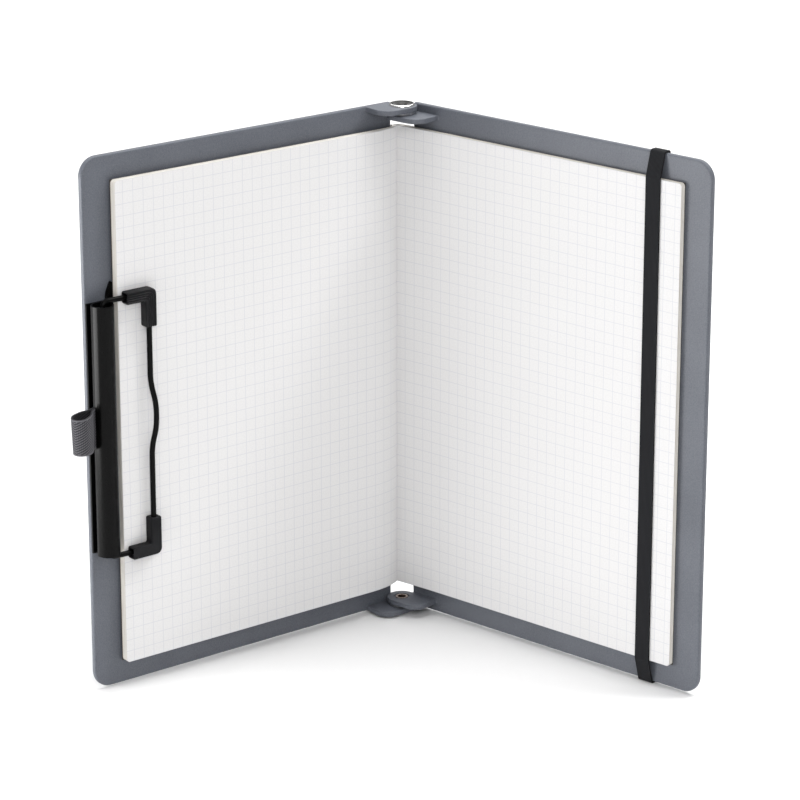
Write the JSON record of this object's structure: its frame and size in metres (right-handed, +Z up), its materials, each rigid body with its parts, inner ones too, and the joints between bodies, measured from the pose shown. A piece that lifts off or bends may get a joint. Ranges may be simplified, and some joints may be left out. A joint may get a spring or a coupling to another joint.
{
  "type": "folding clipboard",
  "caption": "Book-style folding clipboard, open and standing: two moulded covers on riveted ears, sprung wire clip, pen loop, elastic band and a squared notebook.",
  "frame": {"origin": "on the hinge axis at the outer end of the lower rivet, the level of the surface that the part stands on", "axes": "+Z up along the hinge axis; -Y is the direction in which the covers open; +X is to the right seen from the open side, towards the cover with the band"},
  "size_m": [0.2608, 0.119, 0.2328],
  "materials": {
    "cover_plastic": "fine satin texture",
    "rivet_chrome": "bright plated",
    "washer_steel": "plain",
    "clip_enamel": "gloss black",
    "wire_enamel": "satin black",
    "guard_rubber": "satin black",
    "spring_steel": "plain",
    "bush_plastic": "black",
    "loop_weave": "woven elastic tape, dark grey",
    "band_elastic": "flat woven elastic, black",
    "card": "plain card",
    "paper": "uncoated paper with a pale grid"
  },
  "bodies": {
    "left_side": {"left_cover": "cover_plastic", "lower_hinge_rivet": "rivet_chrome", "upper_hinge_rivet": "rivet_chrome", "lower_hinge_washer": "washer_steel", "upper_hinge_washer": "washer_steel", "clip_base_plate": "clip_enamel", "clip_rivets": "washer_steel", "upper_torsion_spring": "spring_steel", "lower_torsion_spring": "spring_steel", "upper_spring_anchor": "spring_steel", "lower_spring_anchor": "spring_steel", "upper_barrel_bush": "bush_plastic", "lower_barrel_bush": "bush_plastic", "pen_loop": "loop_weave", "pen_loop_pin": "spring_steel", "notebook_front_cover": "card", "notebook_left_pages": "paper"},
    "right_side": {"right_cover": "cover_plastic", "notebook_right_pages": "paper", "notebook_back_cover": "card"},
    "bail": {"bail_wire": "wire_enamel", "upper_corner_guard": "guard_rubber", "lower_corner_guard": "guard_rubber"},
    "band": {"elastic_band": "band_elastic"}
  },
  "joints": [
    {"name": "cover_hinge", "type": "hinge", "parent": "left_side", "child": "right_side", "pos_m": [0, 0, 0], "axis": [0, 0, 1], "range_deg": [-100, 80]},
    {"name": "bail_hinge", "type": "hinge", "parent": "left_side", "child": "bail", "pos_m": [-0.11958, -0.09832, 0.1168], "axis": [0, 0, -1], "range_deg": [0, 180], "stiffness_Nm_per_rad": 0.12, "springref_deg": -28.65},
    {"name": "band_slide", "type": "slide", "parent": "right_side", "child": "band", "axis": [0.766, -0.6428, 0], "range_m": [-0.1, 0.015]}
  ]
}
